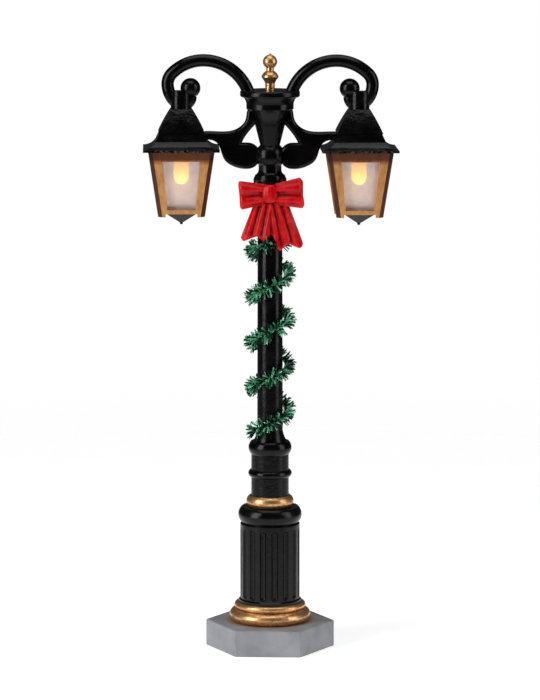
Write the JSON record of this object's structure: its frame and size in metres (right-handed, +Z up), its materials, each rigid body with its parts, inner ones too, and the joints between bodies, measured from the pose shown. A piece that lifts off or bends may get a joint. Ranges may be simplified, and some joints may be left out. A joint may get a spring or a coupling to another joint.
{
  "type": "street lamp post",
  "caption": "Miniature lamp post with twin scroll arms, square lit lanterns, fluted foot, hexagonal plinth, bow and spiral garland.",
  "frame": {"origin": "centre of the plinth's underside, on the surface that the post stands on", "axes": "+Z up the shaft, +X towards the right-hand lantern, +Y to the back, where the lead outlet is"},
  "size_m": [0.0516, 0.0226, 0.12],
  "materials": {
    "black_enamel": "moulded plastic, gloss black enamel",
    "gold_paint": "moulded plastic, metallic gold paint",
    "copper_paint": "moulded plastic, brushed-on copper paint over black",
    "grey_stone_paint": "moulded plastic, matt grey paint",
    "red_enamel": "moulded resin, gloss red enamel",
    "green_foil": "metallised green tinsel foil",
    "garland_wire": "thin twisted steel wire",
    "frosted_glazing": "frosted clear moulding",
    "white_plastic": "moulded white plastic",
    "led_epoxy": "clear epoxy, warm white, lit",
    "black_plastic": "moulded black plastic",
    "black_rubber": "soft black grommet",
    "heat_shrink": "shrunk sleeving",
    "wire_insulation": "thin insulated hook-up wire"
  },
  "bodies": {
    "root": {"base_cover": "black_plastic", "base_ring": "gold_paint", "bow": "red_enamel", "collar_sleeve": "black_enamel", "drum_ring": "gold_paint", "finial": "gold_paint", "fluted_drum": "black_enamel", "garland_tinsel": "green_foil", "garland_wire": "garland_wire", "glazing_left": "frosted_glazing", "glazing_right": "frosted_glazing", "head_hub": "black_enamel", "lantern_bottom_left": "black_enamel", "lantern_bottom_right": "black_enamel", "lantern_frame_left": "copper_paint", "lantern_frame_right": "copper_paint", "lantern_roof_left": "black_enamel", "lantern_roof_right": "black_enamel", "lead_grommet": "black_rubber", "lead_splices": "heat_shrink", "led_holder_left": "white_plastic", "led_holder_right": "white_plastic", "led_left": "led_epoxy", "led_right": "led_epoxy", "led_wires_left": "wire_insulation", "led_wires_right": "wire_insulation", "lower_bracket_left": "black_enamel", "lower_bracket_right": "black_enamel", "neck_collar": "black_enamel", "plinth": "grey_stone_paint", "scroll_arm_left": "black_enamel", "scroll_arm_right": "black_enamel", "shaft": "black_enamel", "urn_cap": "black_enamel"}
  },
  "joints": []
}
